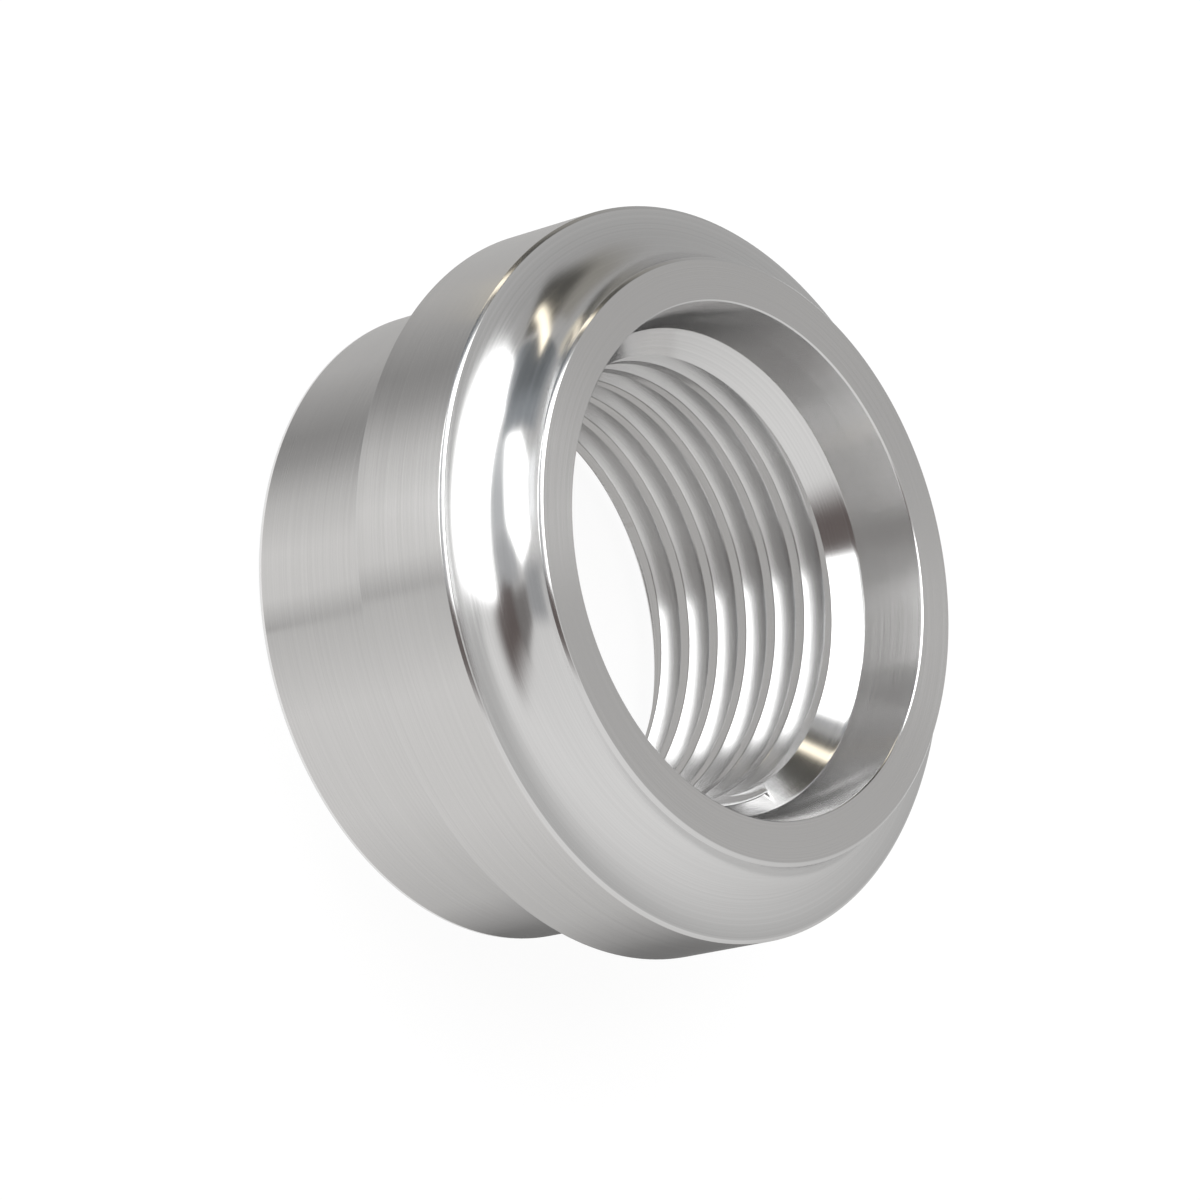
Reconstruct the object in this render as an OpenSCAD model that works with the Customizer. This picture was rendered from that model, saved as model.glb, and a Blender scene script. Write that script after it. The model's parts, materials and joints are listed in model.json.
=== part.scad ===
// Weld-on fitting: a round bung with a female straight-thread port that seals on an O-ring.
// It is turned from one piece of aluminium bar, and its spigot is welded into a tank or a tube wall.
// It stands on the spigot's end with the port looking up. The origin is the centre of that end.
// All lengths are in millimetres and all angles in degrees.

/* [Flange] */
// Outside diameter of the flange, the widest part
flange_d = 34; // [31:0.1:60]
// Thickness of the flange, from its shoulder to the land round the ring
flange_t = 5.4; // [2:0.1:20]

/* [Ring round the port] */
// Outside diameter of the ring that stands up round the port
ring_d = 27.9; // [25:0.1:33]
// Height of the ring's flat face above the flange's land
ring_h = 3; // [0.5:0.1:10]
// Radius of the cove that blends the ring into the flange
cove_r = 2.8; // [0.2:0.1:6]

/* [Weld spigot] */
// Outside diameter of the spigot
spigot_d = 29.8; // [25.5:0.1:33]
// Length of the spigot, from its end to the flange's shoulder
spigot_l = 8.3; // [3:0.1:40]
// Radius in the corner between the spigot and the shoulder
shoulder_r = 0.4; // [0.1:0.1:1]

/* [O-ring seat] */
// Diameter of the tapered seat where it meets the ring's face
seat_d = 23.8; // [22.8:0.05:24.5]
// Depth of the seat, down to the lead-in cone
seat_depth = 3; // [1:0.1:4.5]
// Slope of the seat's wall from the axis
seat_slope = 11.5; // [4:0.5:15]
// Radius in the corner between the seat and the lead-in cone
seat_r = 0.3; // [0.05:0.05:0.6]

/* [Thread] */
// Major diameter of the thread, at the bottom of its groove
thread_d = 22.225; // [21:0.005:22.5]
// Diameter of the bore through the crests of the thread
minor_d = 20.4; // [19:0.1:20.9]
// Turns of thread in 25.4 mm
threads_per_inch = 14; // [12:1:16]
// Slope of the cones that lead in to the thread at both ends, from the axis
lead_slope = 45; // [35:1:55]
// Diameter of the rear lead-in cone where it opens in the spigot's end
rear_d = 23.4; // [22.6:0.1:25]

/* [Edges] */
// Width of the small bevel that breaks each turned corner
edge_break = 0.15; // [0.05:0.05:0.4]

/* [Hidden] */

total_h = spigot_l + flange_t + ring_h;
land_z = spigot_l + flange_t;
flange_r = flange_d / 2;
ring_r = ring_d / 2;
spigot_r = spigot_d / 2;
minor_r = minor_d / 2;
rear_r = rear_d / 2;

// Narrow land that is always left between a rounded corner and the bevel next to it
land = 0.05;
// The cove is limited by the ring's height and by the width of the flange round it
cove = min(cove_r, min(ring_h, flange_r - ring_r) - edge_break - land);
// The corner under the shoulder is limited by how far the flange stands out
corner = min(shoulder_r, flange_r - spigot_r - edge_break - land);

// The corner where the seat's wall turns into the lead-in cone
seat_foot = [seat_d / 2 - seat_depth * tan(seat_slope), total_h - seat_depth];
up_seat = [sin(seat_slope), cos(seat_slope)];
down_lead = [-sin(lead_slope), -cos(lead_slope)];
in_from_seat = [-cos(seat_slope), sin(seat_slope)];
seat_tangent = seat_r * tan((lead_slope - seat_slope) / 2);

lead_end_z = seat_foot.y - (seat_foot.x - minor_r) / tan(lead_slope);
rear_cone_z = (rear_r - minor_r) / tan(lead_slope);

pitch = 25.4 / threads_per_inch;
// The groove's sides stand at 60 degrees to each other, and its floor is an eighth of a pitch wide
groove_side = tan(30);
groove_floor = pitch / 8;
// The groove's cutter starts this far inside the crests, so that it clears the bore's wall
cutter_clear = 0.4;
// Depth of one crest below the ring's face on the +Y side, which sets where the thread starts
crest_depth = 4.15;
crest_z = total_h - crest_depth;
// Flat steps in one turn of the groove
turn_steps = 40;

// The blank without its bore, as a half section: radius along X, height along Y
module blank_section() {
    b = edge_break;
    difference() {
        polygon([
            [0, 0], [spigot_r - b, 0], [spigot_r, b],
            [spigot_r, spigot_l - corner], [spigot_r + corner, spigot_l],
            [flange_r - b, spigot_l], [flange_r, spigot_l + b],
            [flange_r, land_z - b], [flange_r - b, land_z],
            [ring_r + cove, land_z], [ring_r, land_z + cove],
            [ring_r, total_h - b], [ring_r - b, total_h], [0, total_h]
        ]);
        translate([ring_r + cove, land_z + cove]) circle(r = cove, $fn = 96);
        translate([spigot_r + corner, spigot_l - corner]) circle(r = corner, $fn = 48);
    }
}

// The space inside: rear cone, bore through the crests, lead-in cone, tapered seat and its bevel
module port_section() {
    b = edge_break;
    polygon([
        [0, -b], [rear_r + b, -b], [rear_r, 0], [minor_r, rear_cone_z], [minor_r, lead_end_z],
        seat_foot + seat_tangent * down_lead, seat_foot + seat_tangent * up_seat,
        [seat_d / 2 - b * tan(seat_slope), total_h - b], [seat_d / 2 + b, total_h],
        [seat_d / 2 + b, total_h + b], [0, total_h + b]
    ]);
    translate(seat_foot + seat_tangent * up_seat + seat_r * in_from_seat)
        circle(r = seat_r, $fn = 48);
}

// One section of the groove's cutter, turned to angle a and lifted to height z
function groove_ring(a, z) = let(
        inner_r = minor_r - cutter_clear,
        outer_r = thread_d / 2,
        outer_half = groove_floor / 2,
        inner_half = outer_half + (outer_r - inner_r) * groove_side
    ) [
        for (p = [[inner_r, -inner_half], [outer_r, -outer_half], [outer_r, outer_half], [inner_r, inner_half]])
            [p.x * cos(a), p.x * sin(a), z + p.y]
    ];

// The right-hand groove, swept up the bore from below the spigot's end to the foot of the seat
module thread_groove() {
    first = floor((-pitch - crest_z) / pitch * turn_steps);
    last = ceil((seat_foot.y + pitch / 4 - crest_z) / pitch * turn_steps) - turn_steps / 2;
    rings = last - first;
    points = [
        for (i = [0:rings])
            each groove_ring(90 + 360 * (first + i) / turn_steps,
                             crest_z + pitch / 2 + pitch * (first + i) / turn_steps)
    ];
    sides = [
        for (i = [0:rings - 1], j = [0:3])
            let(p = 4 * i + j, q = 4 * i + (j + 1) % 4)
                each [[p, q, p + 4], [q, q + 4, p + 4]]
    ];
    polyhedron(points, concat([[3, 2, 1, 0]], sides, [[for (j = [0:3]) 4 * rings + j]]));
}

module fitting_body() {
    color([0.72, 0.72, 0.72])
        difference() {
            rotate_extrude($fn = 144)
                difference() {
                    blank_section();
                    port_section();
                }
            thread_groove();
        }
}

fitting_body();
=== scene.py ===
# %% [markdown]
# # A turned aluminium weld-on fitting
# This notebook dresses one machined part: a round bung with a flange, a spigot that is welded into a
# wall, and a threaded port with a tapered seat for an O-ring. It is a single turned piece, so all the
# work is in two things: a lathe profile that is true down to its small bevels, and bare metal that
# shows the marks of the tool.
#
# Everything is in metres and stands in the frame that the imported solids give. The port looks up along
# +Z and the origin is the centre of the spigot's end.

# %% Load the frame
import json
import math

import bpy
from mathutils import Matrix, Vector


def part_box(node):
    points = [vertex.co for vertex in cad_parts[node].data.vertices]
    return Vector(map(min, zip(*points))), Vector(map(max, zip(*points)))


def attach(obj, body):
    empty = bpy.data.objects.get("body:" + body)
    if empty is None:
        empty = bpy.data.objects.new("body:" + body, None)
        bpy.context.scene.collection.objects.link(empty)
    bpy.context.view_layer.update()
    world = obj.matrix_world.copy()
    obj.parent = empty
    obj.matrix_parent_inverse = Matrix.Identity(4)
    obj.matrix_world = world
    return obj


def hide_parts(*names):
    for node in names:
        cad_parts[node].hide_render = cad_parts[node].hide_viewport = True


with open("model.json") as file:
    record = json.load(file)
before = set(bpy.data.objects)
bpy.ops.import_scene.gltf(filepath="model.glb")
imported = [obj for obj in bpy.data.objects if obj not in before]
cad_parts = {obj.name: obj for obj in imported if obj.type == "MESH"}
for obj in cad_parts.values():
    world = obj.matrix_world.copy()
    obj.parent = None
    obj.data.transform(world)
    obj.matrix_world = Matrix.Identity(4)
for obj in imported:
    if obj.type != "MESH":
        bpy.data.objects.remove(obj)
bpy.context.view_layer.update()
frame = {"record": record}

# %% [markdown]
# ## The driving sizes
# A lathe part is described by radii and heights, so the section below is a list of these. The frame
# already knows the most important ones: the box gives the flange's radius and the full height, and the
# mounts give the spigot, the shoulder and the bore. The rest are the machinist's own sizes. Working in
# millimetres keeps them readable, and one factor turns them into metres at the end.

# %% Sizes in millimetres
MM = 0.001
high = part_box("fitting_body")[1]
mounts = {mount["name"]: mount for mount in frame["record"]["mounts"]}

flange_r = high[0] / MM
total_h = high[2] / MM
spigot_r = mounts["weld_spigot"]["dims"]["r_mm"]
shoulder_z = mounts["weld_shoulder"]["pos_m"][2] / MM
crest_r = mounts["port_thread"]["dims"]["r_mm"]

ring_h = 3.0
ring_r = 13.95
cove_r = 2.8
land_z = total_h - ring_h
corner_r = 0.4
bevel = 0.15
# Each turned edge has a fine round, and a narrow land stays between the cove and the bevel next to it
edge_size = 0.03
land_width = 0.05

seat_mouth_r = 11.9
seat_depth = 3.0
seat_slope = math.radians(11.5)
# The seat's edge is finer than the other bevels
lip = 0.055
seat_foot_r = seat_mouth_r - seat_depth * math.tan(seat_slope)
seat_foot_z = total_h - seat_depth

pitch = 25.4 / 14
groove_r = 22.225 / 2
rear_mouth_r = 11.7
# Height of one crest on the +Y side, read off the photograph, which sets where the thread starts
crest_z = total_h - 4.15

# The lead-in cones at both ends of the bore stand at 45 degrees
lead_end_z = seat_foot_z - (seat_foot_r - crest_r)
rear_end_z = rear_mouth_r - crest_r
print(f"flange radius {flange_r:.2f} mm, height {total_h:.2f} mm, pitch {pitch:.3f} mm")

# %% [markdown]
# ## The camera
# The photograph looks down on the port from about forty degrees above the flange, from a quarter of a
# metre away, through a long lens. The camera lies on its side: it is rolled by 76 degrees, which is why
# the part seems to face right in the picture although it stands upright here. Building the matrix from
# the three axes of the camera is clearer than Euler angles when there is a roll.

# %% Camera
camera_height_angle = math.radians(40.99)
camera_roll = math.radians(76.33)
camera_distance = 0.25299
camera_aim = Vector((0.00014, 0, 0.00723))

backward = Vector((0, -math.cos(camera_height_angle), math.sin(camera_height_angle)))
level_right = Vector((1, 0, 0))
level_up = backward.cross(level_right)
right = level_right * math.cos(camera_roll) + level_up * math.sin(camera_roll)
up = backward.cross(right)

camera_data = bpy.data.cameras.new("photo_camera")
camera_data.sensor_width = 36
camera_data.lens = 164.63
camera_data.clip_start = 0.01
camera = bpy.data.objects.new("photo_camera", camera_data)
place = camera_aim + backward * camera_distance
camera.matrix_world = Matrix.Translation(place) @ Matrix((right, up, backward)).transposed().to_4x4()
bpy.context.collection.objects.link(camera)
bpy.context.scene.camera = camera
bpy.context.scene.view_settings.view_transform = "Standard"
print("camera stands at", tuple(round(value, 4) for value in place))

# %% [markdown]
# ## The lathe section
# On the real part a form tool and an insert follow this outline while the bar spins. A revolve is the
# natural twin of that, and the outline needs only corners and arcs. Three helpers draw it: one rounds a
# corner, one draws a true arc for the cove, and one gives every edge of a chain its fine round.
#
# Each point carries the name of the finish of the surface that follows it, because the tools leave
# different marks on the flats, on the cylinders and in the cove.

# %% Helpers for the outline
def soft_corner(before, corner, after, size, steps=3):
    """Points of a small round that replaces a corner, from the side of before to the side of after."""
    corner = Vector(corner)
    start = corner + (Vector(before) - corner).normalized() * size
    end = corner + (Vector(after) - corner).normalized() * size
    points = []
    for i in range(steps + 1):
        t = i / steps
        points.append(start * (1 - t) ** 2 + corner * 2 * t * (1 - t) + end * t ** 2)
    return points


def arc(centre, radius, from_angle, to_angle, steps):
    """Points on an arc in the section, with angles in degrees from the outward direction."""
    points = []
    for i in range(steps + 1):
        angle = math.radians(from_angle + (to_angle - from_angle) * i / steps)
        out, rise = radius * math.cos(angle), radius * math.sin(angle)
        points.append(Vector((centre[0] + out, centre[1] + rise)))
    return points


def edge_round(corners, finishes):
    """Rounds each inner corner of an open chain, and pairs each point with its finish."""
    chain = [(Vector(corners[0]), finishes[0])]
    for i in range(1, len(corners) - 1):
        rounded = soft_corner(corners[i - 1], corners[i], corners[i + 1], edge_size)
        chain += [(point, finishes[i]) for point in rounded]
    chain.append((Vector(corners[-1]), finishes[-1]))
    return chain


# %% [markdown]
# ## Outside and seat
# The chain starts in the lead-in cone just under the seat, climbs the seat and crosses the ring's face.
# It runs down the ring, through the cove and over the flange, along the spigot to its end, and stops in
# the rear cone. The bevels are only 0.15 mm wide, yet they matter: they are the thin bright lines that
# draw the edges of the part in the picture.

# %% Outline of the blank
# The outline hands over to the bore's own mesh on the cones, close to the seat's foot and the rear mouth
below_seat = 0.12
cone_top_z = seat_foot_z - below_seat
cone_top_r = crest_r + cone_top_z - lead_end_z
rear_low_z = 0.25
rear_low_r = rear_mouth_r - rear_low_z
cove = min(cove_r, min(ring_h, flange_r - ring_r) - bevel - land_width)
b = bevel

inside = edge_round(
    [(cone_top_r, cone_top_z), (seat_foot_r, seat_foot_z),
     (seat_mouth_r - lip * math.tan(seat_slope), total_h - lip), (seat_mouth_r + lip, total_h)],
    ["cone", "seat", "bevel", "face"])
over_ring = edge_round(
    [(seat_mouth_r + lip, total_h), (ring_r - b, total_h), (ring_r, total_h - b),
     (ring_r, land_z + cove)],
    ["face", "bevel", "cove", "cove"])
in_cove = [(point, "cove") for point in arc((ring_r + cove, land_z + cove), cove, 180, 270, 40)]
over_flange = edge_round(
    [(ring_r + cove, land_z), (flange_r - b, land_z), (flange_r, land_z - b),
     (flange_r, shoulder_z + b), (flange_r - b, shoulder_z), (spigot_r + corner_r, shoulder_z)],
    ["land", "bevel", "rim", "bevel", "shoulder", "shoulder"])
corner_arc = arc((spigot_r + corner_r, shoulder_z - corner_r), corner_r, 90, 180, 8)
in_corner = [(point, "shoulder") for point in corner_arc]
along_spigot = edge_round(
    [(spigot_r, shoulder_z - corner_r), (spigot_r, b), (spigot_r - b, 0), (rear_mouth_r, 0),
     (rear_low_r, rear_low_z)],
    ["spigot", "bevel", "end", "rear_cone", "rear_cone"])

outline = inside[:-1] + over_ring[:-1] + in_cove + over_flange[1:-1] + in_corner + along_spigot[1:]
print("outline has", len(outline), "points")

# %% [markdown]
# ## The thread
# A thread is a groove that climbs by one pitch in each turn, so no single section describes it. One way
# is to sweep a cutter along a helix and subtract it with a boolean, but that leaves slivers which spoil
# the reflections of bright metal. Here the wall of the bore is meshed directly: every column of the lathe
# has its own list of points, worked out from the groove's section at the height that the helix has
# reached there. The points carry labels, such as the third corner of groove five, and neighbouring
# columns are stitched label to label. Where a cone cuts a groove short, the groove ends on the cone's
# surface, and its last turn tapers to a point there.
#
# The groove's sides stand at 60 degrees to each other, and its floor would be an eighth of a pitch wide.
# The real tool's nose is round, so the root is one curve between the flanks. Its deepest point lies on
# the groove's radius, which is what sets the size of the round.

# %% Groove section
column_count = 240
half_angle = math.radians(30)
thread_flank = math.tan(half_angle)
floor_half = pitch / 16
mouth_half = floor_half + (groove_r - crest_r) * thread_flank
flanks_meet_r = groove_r + floor_half / thread_flank
root_round = (flanks_meet_r - groove_r) * 2 / math.cos(half_angle)
# The crests' edges are rounded too, so the section keeps a bit of plain bore beside its mouth
crest_round = 0.06
beside_mouth = 0.3
groove_corners = [(-mouth_half - beside_mouth, crest_r), (-mouth_half, crest_r), (0, flanks_meet_r),
                  (mouth_half, crest_r), (mouth_half + beside_mouth, crest_r)]
# Which corners are rounded, how large each round is, and in how many steps
groove_rounds = ((1, crest_round, 4), (2, root_round, 10), (3, crest_round, 4))
lower_edge, root, upper_edge = [
    soft_corner(groove_corners[i - 1], groove_corners[i], groove_corners[i + 1], size, steps)
    for i, size, steps in groove_rounds]
flank_steps = 4
flanks = [[start.lerp(end, i / flank_steps) for i in range(1, flank_steps)]
          for start, end in ((lower_edge[-1], root[0]), (root[-1], upper_edge[0]))]
groove_section = lower_edge + flanks[0] + root + flanks[1] + upper_edge
print("groove section has", len(groove_section), "points")
print(f"crests are {pitch - 2 * mouth_half:.3f} mm wide")

# %% Columns of the bore
# On the last turn the tool was drawn back this far for each millimetre that it climbed the lead-in cone
draw_back = 1.2
# A groove that is shallower than this in its middle isn't meshed
least_depth = 0.004
# Depths below this lie on the plain wall
on_wall = 1e-6
# Grooves that are tried beyond each end of the bore
spare_grooves = 2


def bore_radius(z):
    """Radius of the plain bore with its two cones."""
    return max(crest_r, crest_r + z - lead_end_z, crest_r + rear_end_z - z)


def groove_span(centre_z):
    """Points of one groove at one column, cut off where it runs out into the bore's wall."""
    drawn_back = draw_back * max(0, centre_z - lead_end_z)
    heights = [centre_z + x for x, r in groove_section]
    radii = [r - drawn_back for x, r in groove_section]
    depths = [r - bore_radius(z) for z, r in zip(heights, radii)]
    half = len(depths) // 2
    middle = half if depths[half] > 0 else depths.index(max(depths))
    if depths[middle] <= least_depth:
        return []
    first = middle
    while first > 0 and depths[first - 1] > on_wall:
        first -= 1
    last = middle
    while last < len(depths) - 1 and depths[last + 1] > on_wall:
        last += 1
    span = [(i, heights[i], radii[i]) for i in range(first, last + 1)]
    for label, inner, outer in (("start", first, first - 1), ("end", last, last + 1)):
        if 0 <= outer < len(depths):
            share = depths[inner] / (depths[inner] - depths[outer])
            z = heights[inner] + share * (heights[outer] - heights[inner])
            point = (label, z, bore_radius(z))
            span = [point] + span if label == "start" else span + [point]
    return span


def bore_column(j):
    """Labelled points up the wall of the bore at column j, between the two plain rings. Columns are
    counted from +X, and the crest's height is known on the +Y side, a quarter of a turn further."""
    share_of_turn = j / column_count - 0.25
    lowest = math.floor((rear_low_z - crest_z) / pitch) - spare_grooves
    highest = math.ceil((cone_top_z - crest_z) / pitch) + spare_grooves
    points = []
    grooves = []
    for k in range(lowest, highest):
        centre_z = crest_z + pitch * (k + 0.5 + share_of_turn)
        span = groove_span(centre_z)
        if span and span[0][1] > rear_low_z and span[-1][1] < cone_top_z:
            grooves.append((span[0][1], span[-1][1]))
            points += [((k, label), z, r) for label, z, r in span]
    for label, z in (("rear_end", rear_end_z), ("lead_end", lead_end_z)):
        if not any(start <= z <= end for start, end in grooves):
            points.append(((0, label), z, crest_r))
    points.sort(key=lambda point: point[1])
    return points


columns = [bore_column(j) for j in range(column_count)]
print("bore columns have", min(map(len, columns)), "to", max(map(len, columns)), "points")

# %% [markdown]
# ## Stitching the mesh
# The outline is revolved into rings of four-sided faces. The bore's columns are then sewn between the
# first and the last ring. Neighbouring columns are joined by an edge at each label that they share, and
# one face fills the space between two such edges. The last column meets the first one a full turn
# higher, so its labels are counted one groove up. The result is one closed skin with no loose or doubled
# faces.

# %% Revolve and stitch
vertices = []
faces = []
face_finishes = []


def add_vertex(radius, z, j):
    """Adds a point of column j and gives its number."""
    angle = 2 * math.pi * j / column_count
    vertices.append((radius * math.cos(angle) * MM, radius * math.sin(angle) * MM, z * MM))
    return len(vertices) - 1


def add_face(loop, finish):
    """Adds a face, without the points that it would name twice."""
    corners = [v for i, v in enumerate(loop) if v != loop[i - 1]]
    if len(corners) > 2:
        faces.append(corners)
        face_finishes.append(finish)


rings = [[add_vertex(point.x, point.y, j) for j in range(column_count)] for point, finish in outline]
for (point, finish), ring, next_ring in zip(outline, rings, rings[1:]):
    for j in range(column_count):
        k = (j + 1) % column_count
        add_face((ring[j], ring[k], next_ring[k], next_ring[j]), finish)

sewn = []
for j, column in enumerate(columns):
    chain = [((0, "bottom"), rings[-1][j])]
    chain += [(label, add_vertex(r, z, j)) for label, z, r in column]
    chain.append(((0, "top"), rings[0][j]))
    sewn.append(chain)


def seam_label(label, shift):
    """Groove labels count up by one where the last column meets the first."""
    count, name = label
    plain = name in ("bottom", "top", "rear_end", "lead_end")
    return label if plain else (count - shift, name)


# A wall counts as cut by the threading tool from these depths on, in the bore and on the lead-in cone
cut_in_bore = 0.02
cut_on_cone = 0.25
# Radii that differ by less than this are the same
same_radius = 1e-3


def wall_finish(loop):
    """The cones and the crests keep their own finish, and all else was cut by the threading tool. Where
    the groove gets shallow on the lead-in cone, the cone's finish goes on."""
    points = [(math.hypot(vertices[v][0], vertices[v][1]) / MM, vertices[v][2] / MM) for v in loop]
    shallow = cut_on_cone if min(z for r, z in points) > lead_end_z else cut_in_bore
    if any(r - bore_radius(z) > shallow for r, z in points):
        return "thread"
    if max(r for r, z in points) - crest_r < same_radius:
        return "crest"
    return "cone" if points[0][1] > total_h / 2 else "rear_cone"


for j in range(column_count):
    left_chain = sewn[j]
    shift = 1 if j == column_count - 1 else 0
    right_chain = [(seam_label(label, shift), v) for label, v in sewn[(j + 1) % column_count]]
    right_places = {label: i for i, (label, v) in enumerate(right_chain)}
    shared = [(i, right_places[label]) for i, (label, v) in enumerate(left_chain) if label in right_places]
    for (a, c), (a_next, c_next) in zip(shared, shared[1:]):
        loop = [v for label, v in left_chain[a:a_next + 1][::-1] + right_chain[c:c_next + 1]]
        add_face(loop, wall_finish(loop))
print(len(vertices), "vertices and", len(faces), "faces")

# %% Make the piece
finish_order = ["face", "bevel", "cove", "land", "rim", "spigot", "shoulder", "end", "seat", "cone",
                "crest", "thread", "rear_cone"]
sharp_from = math.radians(32)
flat_face_weight = 60
mesh = bpy.data.meshes.new("turned_fitting")
mesh.from_pydata(vertices, [], faces)
fitting = bpy.data.objects.new("turned_fitting", mesh)
bpy.context.collection.objects.link(fitting)
mesh.polygons.foreach_set("material_index", [finish_order.index(name) for name in face_finishes])
mesh.polygons.foreach_set("use_smooth", [True] * len(mesh.polygons))
mesh.set_sharp_from_angle(angle=sharp_from)
weighted = fitting.modifiers.new("flat faces stay flat", "WEIGHTED_NORMAL")
weighted.keep_sharp = True
weighted.weight = flat_face_weight
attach(fitting, "root")
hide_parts("fitting_body")
print("the piece has", len(mesh.polygons), "faces in", len(finish_order), "finishes")


# %% [markdown]
# ## Bare turned metal
# Turned aluminium is bare metal under a field of very fine rings that the tool left. The rings spread a
# reflection across their own direction and keep it sharp along it, which is what anisotropy does, with
# its tangent running round the axis. Larger rings, the ones that the eye can pick out, are a thin bump
# and a slight change of shade. They follow the distance from the axis and the height, so that they run
# round every surface of revolution.

# %% Metal finish
# Share of X that goes into the rings' noise, so that a ring changes slowly as it runs round
ring_drift = 0.004
# Size of the patches of uneven polish, in waves to the metre
patch_scale = 260
# The part of its range that a noise really uses, and how far the rings' shade swings about the tint
noise_low, noise_high = 0.3, 0.7
darkest, lightest = 0.91, 1.07


def turned_metal(name, tint, roughness, across, ring_mm, ring_depth, unevenness):
    """A bare metal with rings every ring_mm, ring_depth metres deep, and a slightly uneven polish. The
    value of across, up to 1, says how much wider a reflection gets across the rings than along them."""
    material = bpy.data.materials.new(name)
    material.use_nodes = True
    nodes, links = material.node_tree.nodes, material.node_tree.links
    shader = nodes["Principled BSDF"]
    shader.inputs["Metallic"].default_value = 1
    shader.inputs["Anisotropic"].default_value = across
    shader.inputs["Anisotropic Rotation"].default_value = 0.25
    tangent = nodes.new("ShaderNodeTangent")
    tangent.direction_type = "RADIAL"
    tangent.axis = "Z"
    links.new(tangent.outputs["Tangent"], shader.inputs["Tangent"])

    place = nodes.new("ShaderNodeTexCoord").outputs["Object"]
    split = nodes.new("ShaderNodeSeparateXYZ")
    links.new(place, split.inputs[0])
    flat = nodes.new("ShaderNodeCombineXYZ")
    links.new(split.outputs["X"], flat.inputs["X"])
    links.new(split.outputs["Y"], flat.inputs["Y"])
    radius = nodes.new("ShaderNodeVectorMath")
    radius.operation = "LENGTH"
    links.new(flat.outputs[0], radius.inputs[0])
    section = nodes.new("ShaderNodeCombineXYZ")
    links.new(radius.outputs["Value"], section.inputs["X"])
    links.new(split.outputs["Z"], section.inputs["Y"])
    around = nodes.new("ShaderNodeMath")
    around.operation = "MULTIPLY"
    around.inputs[1].default_value = ring_drift
    links.new(split.outputs["X"], around.inputs[0])
    links.new(around.outputs[0], section.inputs["Z"])

    rings = nodes.new("ShaderNodeTexNoise")
    rings.inputs["Scale"].default_value = 1 / (ring_mm * MM)
    rings.inputs["Detail"].default_value = 2
    links.new(section.outputs[0], rings.inputs["Vector"])
    bump = nodes.new("ShaderNodeBump")
    bump.inputs["Strength"].default_value = 1
    bump.inputs["Distance"].default_value = ring_depth
    links.new(rings.outputs["Fac"], bump.inputs["Height"])
    links.new(bump.outputs["Normal"], shader.inputs["Normal"])

    patches = nodes.new("ShaderNodeTexNoise")
    patches.inputs["Scale"].default_value = patch_scale
    patches.inputs["Detail"].default_value = 3
    links.new(place, patches.inputs["Vector"])
    polish = nodes.new("ShaderNodeMix")
    polish.inputs["Factor"].default_value = 0.5
    links.new(patches.outputs["Fac"], polish.inputs["A"])
    links.new(rings.outputs["Fac"], polish.inputs["B"])
    rough = nodes.new("ShaderNodeMapRange")
    rough.inputs["From Min"].default_value = noise_low
    rough.inputs["From Max"].default_value = noise_high
    rough.inputs["To Min"].default_value = roughness * (1 - unevenness)
    rough.inputs["To Max"].default_value = roughness * (1 + unevenness)
    links.new(polish.outputs["Result"], rough.inputs["Value"])
    links.new(rough.outputs["Result"], shader.inputs["Roughness"])

    shade = nodes.new("ShaderNodeMix")
    shade.data_type = "RGBA"
    shade.inputs["A"].default_value = (*(value * darkest for value in tint), 1)
    shade.inputs["B"].default_value = (*(value * lightest for value in tint), 1)
    links.new(rings.outputs["Fac"], shade.inputs["Factor"])
    links.new(shade.outputs["Result"], shader.inputs["Base Color"])
    return material


# %% [markdown]
# ## One metal, several finishes
# The bar is the same all over, so the colour hardly changes. The ring's face and the outside are fine
# turned and look satin. The cove and the lead-in cone were cut with a fresh, slow pass and are almost
# mirrors. The thread's flanks were burnished by the tool's edge, and the crests keep the bored surface:
# both blur light mostly across the turns, which draws the long soft bands in the bore.

# %% Finishes of the fitting
bright = (0.80, 0.80, 0.80)
satin = (0.77, 0.765, 0.76)
grey = (0.79, 0.79, 0.79)
# Each finish: tint, roughness, spread across the rings, ring width in mm, ring depth in m, unevenness
finishes = {
    "face": turned_metal("ring_face_metal", satin, 0.175, 0.9, 0.05, 0.4e-6, 0.10),
    "land": turned_metal("land_metal", bright, 0.30, 0.9, 0.05, 1.0e-6, 0.10),
    "bevel": turned_metal("bevel_metal", bright, 0.16, 0.3, 0.05, 0.4e-6, 0.10),
    "cove": turned_metal("cove_metal", bright, 0.15, 0.6, 0.06, 0.9e-6, 0.20),
    "rim": turned_metal("rim_metal", satin, 0.20, 0.7, 0.06, 2.0e-6, 0.20),
    "spigot": turned_metal("spigot_metal", satin, 0.18, 0.7, 0.07, 2.0e-6, 0.20),
    "shoulder": turned_metal("shoulder_metal", satin, 0.24, 0.5, 0.06, 1.2e-6, 0.15),
    "end": turned_metal("end_metal", satin, 0.26, 0.5, 0.08, 1.4e-6, 0.15),
    "seat": turned_metal("seat_metal", satin, 0.20, 1.0, 0.06, 0.3e-6, 0.10),
    "cone": turned_metal("cone_metal", bright, 0.13, 0.4, 0.06, 0.3e-6, 0.15),
    "crest": turned_metal("crest_metal", bright, 0.22, 0.9, 0.06, 0.4e-6, 0.15),
    "thread": turned_metal("thread_metal", grey, 0.23, 0.92, 0.05, 0.1e-6, 0.10),
    "rear_cone": turned_metal("rear_cone_metal", satin, 0.18, 0.4, 0.06, 0.8e-6, 0.15),
}
for name in finish_order:
    mesh.materials.append(finishes[name])
print("finishes:", ", ".join(finish_order))


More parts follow.
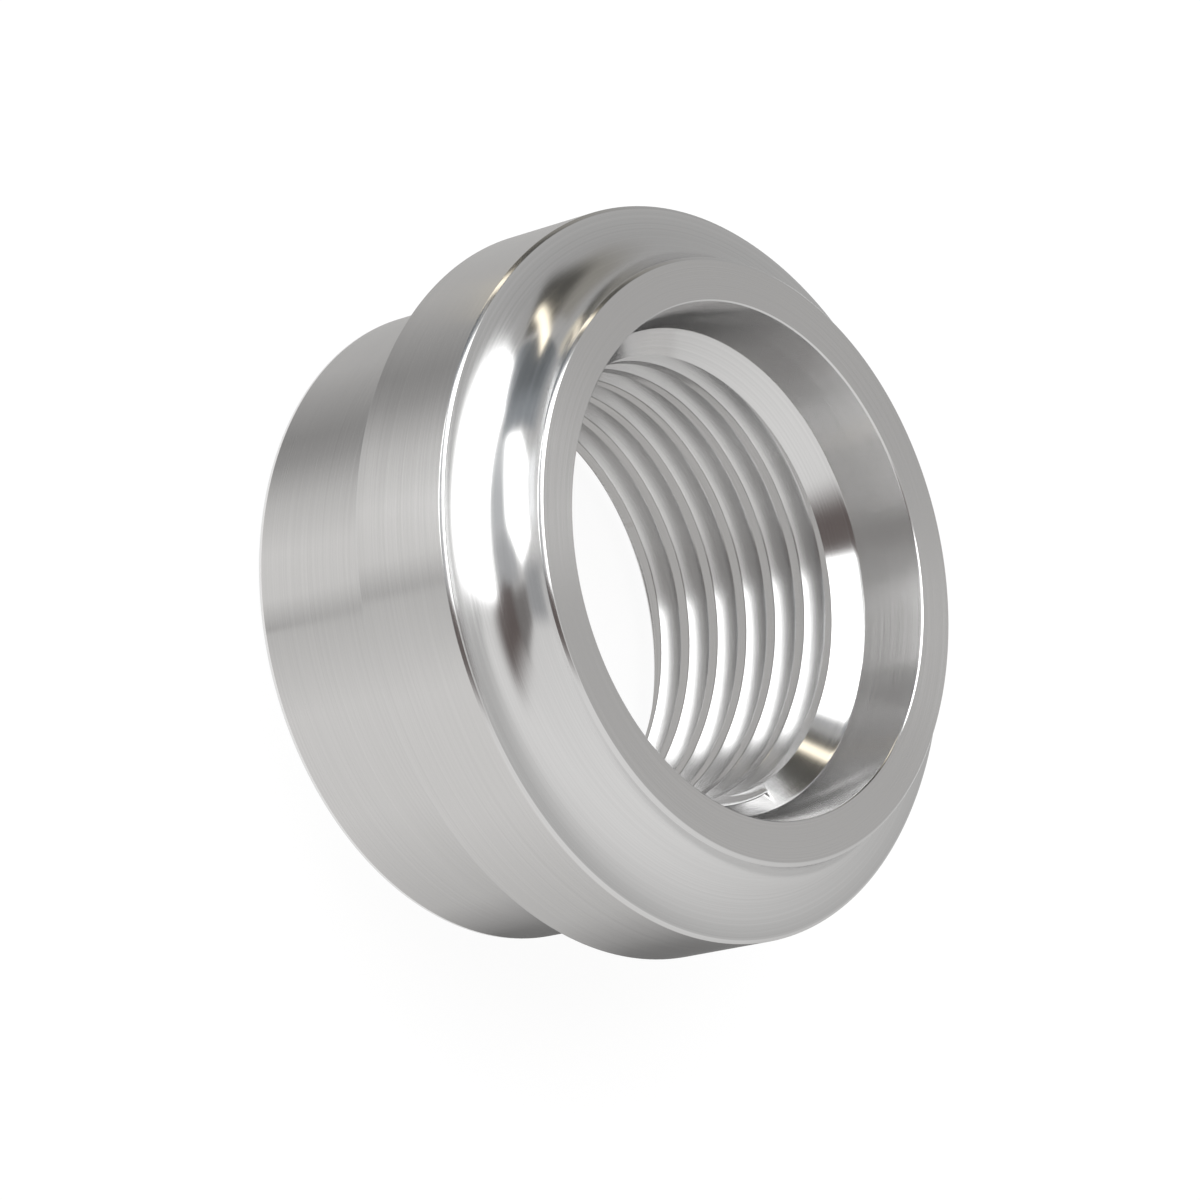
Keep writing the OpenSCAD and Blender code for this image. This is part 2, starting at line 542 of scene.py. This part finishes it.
# %% [markdown]
# ## The studio
# Bright metal has hardly any look of its own: it shows the room. So the room is built with care. A pale
# tent stands round the part, lighter on one side than on the other, and cards hang in front of it: two
# white softboxes, pale and dark boards, the dark arm and stand of the camera, and a small warm strip.
# They are placed by direction as seen from the part: an azimuth round +Z from +X, and a tilt down from
# straight up. A card whose direction points below the horizon lies on the floor instead. None of them
# shows to the camera. Their edges can be soft, like the edge of a real softbox, because each vertex
# carries how much of the card is there.

# %% Studio helpers
tent_radius = 0.9
eye = Vector((0, 0, 0.012))
# Cards whose direction meets the floor lie this far over it, and this much higher per metre of radius
# that they are nearer than the outermost card, so that the nearer one stays in front
card_lift = 0.0004
stack_slope = 0.004
outer_radius = 0.6
# The cove mirrors the cards from about this high over the land, in millimetres
mirror_height = 2


def smooth_edge(distance, margin):
    """0 at an edge, 1 from the margin on, with a soft start and end."""
    if margin <= 0:
        return 1.0
    t = min(1.0, max(0.0, distance / margin))
    return t * t * (3 - 2 * t)


def glow(name, colour, strength, is_lamp=False):
    """A light-giving surface that is as solid as its vertices' cover says."""
    material = bpy.data.materials.new(name)
    material.use_nodes = True
    material.cycles.emission_sampling = "AUTO" if is_lamp else "NONE"
    nodes, links = material.node_tree.nodes, material.node_tree.links
    nodes.clear()
    emission = nodes.new("ShaderNodeEmission")
    emission.inputs["Color"].default_value = (*colour, 1)
    emission.inputs["Strength"].default_value = strength
    clear = nodes.new("ShaderNodeBsdfTransparent")
    cover = nodes.new("ShaderNodeAttribute")
    cover.attribute_name = "cover"
    blend = nodes.new("ShaderNodeMixShader")
    links.new(cover.outputs["Fac"], blend.inputs["Fac"])
    links.new(clear.outputs[0], blend.inputs[1])
    links.new(emission.outputs[0], blend.inputs[2])
    output = nodes.new("ShaderNodeOutputMaterial")
    links.new(blend.outputs[0], output.inputs["Surface"])
    return material


def studio_sheet(name, rows, covers, material, lights_room):
    """A grid of points as a stage object that only reflections, and if wanted soft light, can see."""
    count = len(rows[0])
    points = [point for row in rows for point in row]
    quads = [(i * count + j, i * count + j + 1, (i + 1) * count + j + 1, (i + 1) * count + j)
             for i in range(len(rows) - 1) for j in range(count - 1)]
    sheet_mesh = bpy.data.meshes.new(name)
    sheet_mesh.from_pydata(points, [], quads)
    sheet_mesh.attributes.new("cover", "FLOAT", "POINT").data.foreach_set("value", covers)
    sheet_mesh.materials.append(material)
    obj = bpy.data.objects.new(name, sheet_mesh)
    bpy.context.collection.objects.link(obj)
    obj.visible_camera = False
    obj.visible_shadow = False
    obj.visible_diffuse = lights_room
    obj.visible_transmission = False
    return obj


def soft_sheet(name, corners, place, material, soft=(0, 0, 0, 0), lights_room=True, steps=24):
    """A four-cornered sheet with soft sides. The function place turns a corner's pair of numbers into a
    point. Each value of soft is the share of the sheet over which one side fades: corner 1 to 2, 2 to 3,
    and so on."""
    rows, covers = [], []
    for i in range(steps + 1):
        row = []
        for j in range(steps + 1):
            u, v = i / steps, j / steps
            pair = [(1 - u) * (1 - v) * corners[0][k] + u * (1 - v) * corners[1][k]
                    + u * v * corners[2][k] + (1 - u) * v * corners[3][k] for k in (0, 1)]
            row.append(place(*pair))
            covers.append(smooth_edge(v, soft[0]) * smooth_edge(1 - u, soft[1])
                          * smooth_edge(1 - v, soft[2]) * smooth_edge(u, soft[3]))
        rows.append(row)
    return studio_sheet(name, rows, covers, material, lights_room)


def along_ray(start, azimuth, tilt, radius):
    """Point at a radius in a direction, or just over the floor if the ray meets it first."""
    a, t = math.radians(azimuth), math.radians(tilt)
    towards = Vector((math.sin(t) * math.cos(a), math.sin(t) * math.sin(a), math.cos(t)))
    reach = radius
    if towards.z < 0:
        lift = card_lift + max(0, outer_radius - radius) * stack_slope
        reach = min(radius, (start.z - lift) / -towards.z)
    return start + towards * reach


def card(name, corners, radius, material, soft=(0, 0, 0, 0), lights_room=True):
    """A card at the directions (azimuth, tilt) in which the cove mirrors it to the camera. The place on
    the cove that does so is halfway round between the card and the camera, which stands at 270 degrees."""
    def place(azimuth, tilt):
        halfway = math.radians((azimuth - 90) % 360 / 2 + 180)
        start = Vector((ring_r * math.cos(halfway), ring_r * math.sin(halfway), land_z + mirror_height))
        return along_ray(start * MM, azimuth, tilt, radius)
    return soft_sheet(name, corners, place, material, soft, lights_room)


def level_card(name, corners, height, material, soft=(0, 0, 0, 0)):
    """A level card overhead, with corners (x, y) in shares of its height over the part."""
    return soft_sheet(name, corners, lambda x, y: eye + Vector((x, y, 1)) * height, material, soft)


def round_eye(azimuth, tilt):
    """Point of the tent in a direction as seen from the middle of the part."""
    return along_ray(eye, azimuth, tilt, tent_radius)


# %% Tent
def tent_glow(name, level, swing, brightest_azimuth, tint):
    """Light that is strongest towards one azimuth and falls off smoothly to the other side."""
    material = glow(name, tint, level)
    nodes, links = material.node_tree.nodes, material.node_tree.links
    place = nodes.new("ShaderNodeTexCoord")
    split = nodes.new("ShaderNodeSeparateXYZ")
    links.new(place.outputs["Object"], split.inputs[0])
    angle = nodes.new("ShaderNodeMath")
    angle.operation = "ARCTAN2"
    links.new(split.outputs["Y"], angle.inputs[0])
    links.new(split.outputs["X"], angle.inputs[1])
    turned = nodes.new("ShaderNodeMath")
    turned.operation = "SUBTRACT"
    turned.inputs[1].default_value = math.radians(brightest_azimuth)
    links.new(angle.outputs[0], turned.inputs[0])
    wave = nodes.new("ShaderNodeMath")
    wave.operation = "COSINE"
    links.new(turned.outputs[0], wave.inputs[0])
    strength = nodes.new("ShaderNodeMath")
    strength.operation = "MULTIPLY_ADD"
    strength.inputs[1].default_value = swing
    strength.inputs[2].default_value = level
    links.new(wave.outputs[0], strength.inputs[0])
    links.new(strength.outputs[0], nodes["Emission"].inputs["Strength"])
    return material


tent_cloth = tent_glow("tent_cloth", 0.585, 0.19, -35, (1, 0.99, 0.98))
tent_sides = 8
side_width = 360 // tent_sides
# The sides light the room. The foot, which lies on the floor, is only there for reflections.
tent_parts = (("side", 0, 91, True), ("foot", 91, 106, False))
for side in range(tent_sides):
    west, east = side * side_width, (side + 1) * side_width
    for part, top, foot, lights_room in tent_parts:
        soft_sheet(f"tent_{part}_{side}", [(west, top), (east, top), (east, foot), (west, foot)],
                   round_eye, tent_cloth, lights_room=lights_room)
print("tent has", tent_sides * len(tent_parts), "sheets")


# %% [markdown]
# ## What the cylinders see
# Seen from the camera's height, an upright wall reflects the floor close beside it. So the shading of
# the flange's rim and of the spigot is drawn by a ring of board on the floor round the part. The board is
# laid out along the reflected rays: each strip of it lies where the wall, at one angle, looks. Its tones
# are given against that angle, which makes them easy to match with what the picture shows on the metal.
# The far side of the board and its two ends fade out, so that they leave no line on the metal.

# %% Board round the foot
# Across the board: radius of the wall that looks at it, run from that wall along the ray, and cover
wall_runs = [(spigot_r, 0, 1), (spigot_r, 9.5, 1), (flange_r, 9.4, 1), (flange_r, 18, 1),
             (flange_r, 45, 0)]
board_z = 0.3
end_fade = 0.022


def floor_board(name, tones, tint, steps=180):
    """A ring on the floor whose tone follows the angle of the wall that reflects it. Each tone is (wall
    angle in degrees, light), from -180 round the camera's side to 0. A wall at angle a sends the camera
    light that comes from the direction 2a + 90."""
    rows, covers, lights = [], [], []
    for i in range(steps + 1):
        wall_angle = tones[0][0] + (tones[-1][0] - tones[0][0]) * i / steps
        a, t = math.radians(wall_angle), math.radians(2 * wall_angle + 90)
        rows.append([Vector((wall_r * math.cos(a) + run * math.cos(t),
                             wall_r * math.sin(a) + run * math.sin(t), board_z)) * MM
                     for wall_r, run, cover in wall_runs])
        end_cover = smooth_edge(min(i, steps - i) / steps, end_fade)
        covers += [cover * end_cover for wall_r, run, cover in wall_runs]
        for (from_angle, from_light), (to_angle, to_light) in zip(tones, tones[1:]):
            if from_angle <= wall_angle <= to_angle:
                share = (wall_angle - from_angle) / (to_angle - from_angle)
                light = from_light + (to_light - from_light) * share
        lights += [light] * len(wall_runs)
    material = glow(name, tint, 1.0)
    board = studio_sheet(name, rows, covers, material, False)
    board.data.attributes.new("light", "FLOAT", "POINT").data.foreach_set("value", lights)
    nodes, links = material.node_tree.nodes, material.node_tree.links
    light = nodes.new("ShaderNodeAttribute")
    light.attribute_name = "light"
    links.new(light.outputs["Fac"], nodes["Emission"].inputs["Strength"])


left_dark_strip = [(-150, 0.49), (-133, 0.29), (-128, 0.34)]
front_left_pale = [(-120, 0.58), (-111, 0.73), (-103, 0.71)]
seam_in_front = [(-97.6, 0.45), (-97.2, 0.58)]
front_right_pale = [(-82, 0.74), (-62, 0.72), (-36, 0.54)]
right_dark_end = [(-19, 0.19), (-9, 0.17), (0, 0.42)]
foot_tones = [(-180, 0.54), *left_dark_strip, *front_left_pale, *seam_in_front, *front_right_pale,
              *right_dark_end]
floor_board("foot_board", foot_tones, (1, 0.99, 0.98))
# A dim sheet on the floor right under the part, seen only in reflections: painted shade of the floor that
# the part shadows, as the walls of the bore mirror it. The floor's own white glow for reflected rays would
# otherwise hide that shadow.
soft_sheet("painted_floor_shade_under_bore", [(0, 134), (360, 134), (360, 180), (0, 180)], round_eye,
           glow("painted_floor_shade_glow", (1, 0.98, 0.96), 0.48), lights_room=False)
print("foot board has", len(foot_tones), "tones")

# %% Softboxes and flags
white_box = glow("softbox_white", (1, 1, 1), 2.9, is_lamp=True)
pale_board = glow("pale_board", (0.96, 0.98, 1.0), 0.52)
bright_board = glow("bright_board", (0.98, 0.99, 1.0), 1.1)
grey_board = glow("grey_board", (0.97, 0.98, 1.0), 0.36)
dim_board = glow("dim_board", (0.97, 0.98, 1.0), 0.43)
dark_flag = glow("dark_flag", (0.88, 0.94, 1.0), 0.165)
blue_flag = glow("blue_flag", (0.88, 0.94, 1.0), 0.31)
brown_flag = glow("brown_flag", (1.0, 0.96, 0.87), 0.09)
olive_board = glow("olive_board", (1.0, 0.96, 0.87), 0.29)
lens_flag = glow("lens_flag", (1.0, 0.82, 0.78), 0.12)
warm_flag = glow("warm_flag", (1.0, 0.94, 0.92), 0.19)
warm_strip = glow("warm_strip", (1.0, 0.90, 0.72), 2.0)
beige_board = glow("beige_board", (1.0, 0.93, 0.78), 0.66)

level_card("overhead_softbox", [(-0.08, -0.84), (-0.02, 0.84), (-1.72, -0.01), (-1.68, -0.60)],
           0.35, white_box, (0.03, 0.25, 0.12, 0.05))
level_card("lens_arm", [(0.40, -0.30), (0.0, -0.30), (-0.72, -2.4), (0.85, -2.4)],
           0.33, lens_flag, (0.2, 0.12, 0.1, 0.5))
card("lens_stand", [(256, 62), (289, 62), (273, 93), (257, 97)],
     0.56, warm_flag, (0.1, 0.25, 0.2, 0.3))
card("side_softbox", [(209, 64), (240, 68), (257, 91), (209, 91)],
     0.55, white_box, (0.3, 0.12, 0, 0.10))
card("side_softbox_foot", [(209, 91), (257, 91), (245, 115), (219, 110)],
     0.55, white_box, (0, 0.12, 0.2, 0.1), lights_room=False)
card("between_softboxes", [(207, 50), (244, 40), (246, 84), (207, 80)],
     0.59, pale_board, (0.1, 0.2, 0.1, 0.1))
card("beside_lens", [(238, 42), (260, 42), (260, 86), (240, 86)],
     0.60, dim_board, (0.1, 0.1, 0.2, 0.2))
card("softbox_shade", [(250, 92), (276, 90), (278, 126), (248, 126)],
     0.54, grey_board, (0.1, 0.3, 0.2, 0.3), lights_room=False)
card("floor_light", [(211, 108), (246, 114), (242, 128), (208, 125)],
     0.57, bright_board, (0.3, 0.3, 0.3, 0.3), lights_room=False)
card("blue_flag", [(174, 57), (211, 60), (209, 123), (176, 126)],
     0.53, blue_flag, (0.05, 0.1, 0.3, 0.05), lights_room=False)
card("left_flag", [(174, 60), (206, 63), (200, 117), (175, 122)],
     0.51, dark_flag, (0.15, 0.45, 0.35, 0.05), lights_room=False)
card("olive_board", [(122, 58), (168, 64), (168, 112), (124, 116)],
     0.54, olive_board, (0.3, 0.1, 0.3, 0.5), lights_room=False)
card("brown_corner", [(132, 50), (174, 60), (172, 94), (138, 88)],
     0.52, brown_flag, (0.08, 0.1, 0.4, 0.4))
card("warm_strip", [(155, 60), (163, 60), (188, 95), (175, 95)],
     0.50, warm_strip, (0.1, 0.3, 0.15, 0.3))
card("beige_board", [(152, 115), (174, 112), (177, 131), (156, 133)],
     0.50, beige_board, (0.2, 0.1, 0.15, 0.2), lights_room=False)

# %% [markdown]
# ## Floor and background
# The part stands on a plain pale floor in front of plain white. The floor takes the part's soft shadow.
# To keep it from greying the picture, a share of its white is its own glow for the rays of the camera
# and for rays that metal or glass send on, and the world behind it is white for the same rays. The floor
# lies a hair under the part's end, because two faces in one plane would flicker from underneath.

# %% Floor
floor_mesh = bpy.data.meshes.new("pale_floor")
reach = 3.0
floor_z = -0.00002
floor_corners = [(x * reach, y * reach, floor_z) for x, y in ((-1, -1), (1, -1), (1, 1), (-1, 1))]
floor_mesh.from_pydata(floor_corners, [], [(0, 1, 2, 3)])
floor = bpy.data.objects.new("pale_floor", floor_mesh)
bpy.context.collection.objects.link(floor)


def seen_directly(nodes, links):
    """1 for rays from the camera and for rays that metal or glass send on, otherwise 0."""
    path = nodes.new("ShaderNodeLightPath")
    first = nodes.new("ShaderNodeMath")
    first.operation = "MAXIMUM"
    links.new(path.outputs["Is Camera Ray"], first.inputs[0])
    links.new(path.outputs["Is Glossy Ray"], first.inputs[1])
    both = nodes.new("ShaderNodeMath")
    both.operation = "MAXIMUM"
    links.new(first.outputs[0], both.inputs[0])
    links.new(path.outputs["Is Transmission Ray"], both.inputs[1])
    return both.outputs[0]


floor_tone = 0.85
own_glow = 1.06
glow_share = 0.86
floor_white = bpy.data.materials.new("floor_white")
floor_white.use_nodes = True
nodes, links = floor_white.node_tree.nodes, floor_white.node_tree.links
nodes.clear()
paint = nodes.new("ShaderNodeBsdfDiffuse")
paint.inputs["Color"].default_value = (floor_tone, floor_tone, floor_tone, 1)
shine = nodes.new("ShaderNodeEmission")
shine.inputs["Strength"].default_value = own_glow
share = nodes.new("ShaderNodeMath")
share.operation = "MULTIPLY"
share.inputs[1].default_value = glow_share
links.new(seen_directly(nodes, links), share.inputs[0])
blend = nodes.new("ShaderNodeMixShader")
links.new(share.outputs[0], blend.inputs["Fac"])
links.new(paint.outputs[0], blend.inputs[1])
links.new(shine.outputs[0], blend.inputs[2])
surface = nodes.new("ShaderNodeOutputMaterial")
links.new(blend.outputs[0], surface.inputs["Surface"])
floor_mesh.materials.append(floor_white)
print("floor is", 2 * reach, "m wide")

# %% World
room_light = 0.5
seen_white = 1.0
world = bpy.data.worlds.new("white_world")
bpy.context.scene.world = world
world.use_nodes = True
nodes, links = world.node_tree.nodes, world.node_tree.links
nodes.clear()
strength = nodes.new("ShaderNodeMapRange")
strength.inputs["To Min"].default_value = room_light
strength.inputs["To Max"].default_value = seen_white
links.new(seen_directly(nodes, links), strength.inputs["Value"])
background = nodes.new("ShaderNodeBackground")
background.inputs["Color"].default_value = (1, 1, 1, 1)
links.new(strength.outputs["Result"], background.inputs["Strength"])
output = nodes.new("ShaderNodeOutputWorld")
links.new(background.outputs[0], output.inputs["Surface"])
print("world gives", room_light, "to the room and shows as", seen_white)
